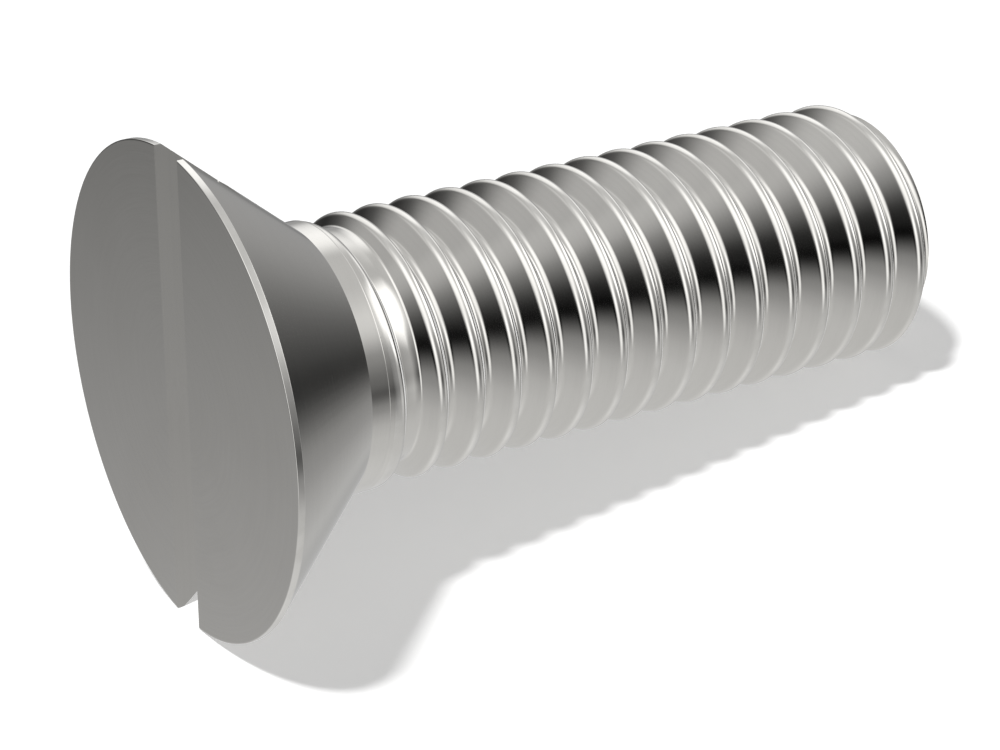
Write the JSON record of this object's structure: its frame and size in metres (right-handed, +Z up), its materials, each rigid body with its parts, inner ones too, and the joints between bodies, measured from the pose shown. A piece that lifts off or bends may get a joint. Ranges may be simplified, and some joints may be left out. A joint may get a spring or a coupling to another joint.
{
  "type": "slotted countersunk screw",
  "caption": "Steel machine screw with a flat countersunk head, a straight driver slot, a short plain neck and a coarse metric thread down to a bevelled point.",
  "frame": {"origin": "on the surface that the screw lies on, under the middle of its bounding box", "axes": "+X runs level from the head to the point, +Z is up, and the driver slot stands upright in the XZ plane; the screw's own axis dips 8.0 degrees below +X towards the point"},
  "size_m": [0.0316, 0.018, 0.0178],
  "materials": {
    "steel": "polished"
  },
  "bodies": {
    "root": {"screw": "steel"}
  },
  "joints": []
}
